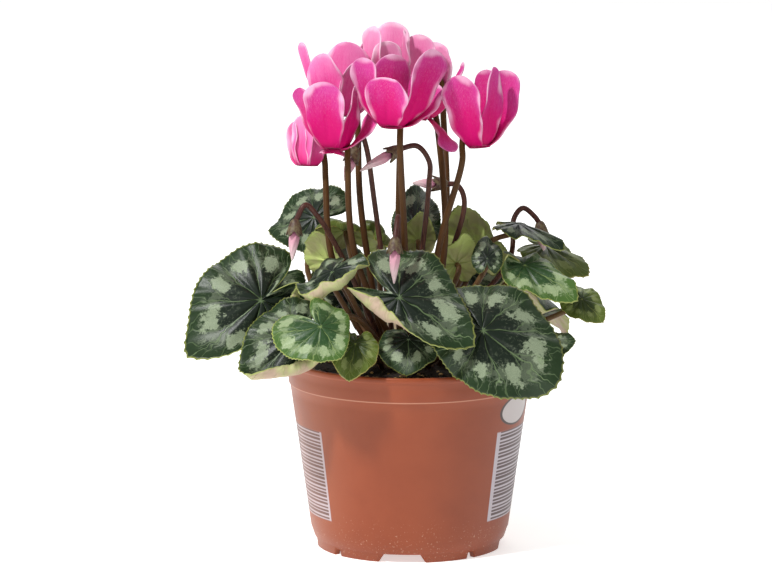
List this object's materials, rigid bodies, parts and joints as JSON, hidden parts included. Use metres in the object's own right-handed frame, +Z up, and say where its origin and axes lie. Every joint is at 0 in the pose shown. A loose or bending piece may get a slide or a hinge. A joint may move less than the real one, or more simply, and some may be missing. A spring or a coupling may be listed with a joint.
{
  "type": "potted cyclamen",
  "caption": "Flowering house plant in a round nursery pot: swept-back magenta petals on bare stalks over heart-shaped, silver-marked leaves.",
  "frame": {"origin": "on the pot's axis, at the level of the surface that the pot stands on", "axes": "+Z up, -Y towards the viewer of the picture, +X to the viewer's right"},
  "size_m": [0.204, 0.173, 0.2525],
  "materials": {
    "pot": "semi-matt terracotta-coloured plastic, dark inside",
    "soil": "moist peat",
    "tuber": "corky brown skin",
    "leaf_dark": "waxy dark green leaf with silver-grey markings",
    "leaf_fresh": "waxy bright green leaf with silver-grey markings",
    "leaf_yellow": "paler yellow-green leaf, mostly its underside",
    "petal": "soft magenta petal, paler towards the margin",
    "stalk": "smooth olive-bronze stalk",
    "bud": "pale pink petals, wound together",
    "bud_stalk": "smooth reddish-brown stalk"
  },
  "bodies": {
    "root": {"leaf_left_outer": "leaf_dark", "leaf_left_low": "leaf_dark", "leaf_front_bright": "leaf_fresh", "leaf_front_left_high": "leaf_dark", "leaf_centre_big": "leaf_dark", "leaf_right_big": "leaf_dark", "leaf_front_small": "leaf_yellow", "leaf_front_low": "leaf_dark", "leaf_right_high": "leaf_fresh", "leaf_right_top": "leaf_dark", "leaf_centre_right_pale": "leaf_yellow", "leaf_back_right_pale": "leaf_yellow", "leaf_back_left_roll": "leaf_yellow", "leaf_back_mid_roll": "leaf_yellow", "leaf_back_centre": "leaf_dark", "leaf_back_left": "leaf_dark", "leaf_far_right_pale": "leaf_yellow", "leaf_far_right_low": "leaf_yellow", "leaf_right_low": "leaf_dark", "leaf_right_pink": "leaf_yellow", "leaf_right_small": "leaf_dark", "leaf_left_behind": "leaf_dark", "leaf_left_inner": "leaf_yellow", "leaf_centre_pale": "leaf_yellow", "leaf_rear_right": "leaf_dark", "leaf_rear_mid_right": "leaf_dark", "leaf_rear_middle": "leaf_dark", "leaf_rear_mid_left": "leaf_dark", "leaf_rear_left": "leaf_dark", "flower_left_half_open_petals": "petal", "flower_left_half_open_stalk": "stalk", "flower_front_left_petals": "petal", "flower_front_left_stalk": "stalk", "flower_back_left_petals": "petal", "flower_back_left_stalk": "stalk", "flower_back_centre_petals": "petal", "flower_back_centre_stalk": "stalk", "flower_back_right_petals": "petal", "flower_back_right_stalk": "stalk", "flower_front_centre_petals": "petal", "flower_front_centre_stalk": "stalk", "flower_right_behind_petals": "petal", "flower_right_behind_stalk": "stalk", "flower_right_petals": "petal", "flower_right_stalk": "stalk", "bud_upper_left_petals": "bud", "bud_upper_left_stalk": "bud_stalk", "bud_lower_left_petals": "bud", "bud_lower_left_stalk": "bud_stalk", "bud_front_petals": "bud", "bud_front_stalk": "bud_stalk", "bud_upper_centre_petals": "bud", "bud_upper_centre_stalk": "bud_stalk", "bud_right_petals": "bud", "bud_right_stalk": "bud_stalk", "bud_far_right_petals": "bud", "bud_far_right_stalk": "bud_stalk", "tuber": "tuber", "pot": "pot", "soil": "soil"}
  },
  "joints": []
}
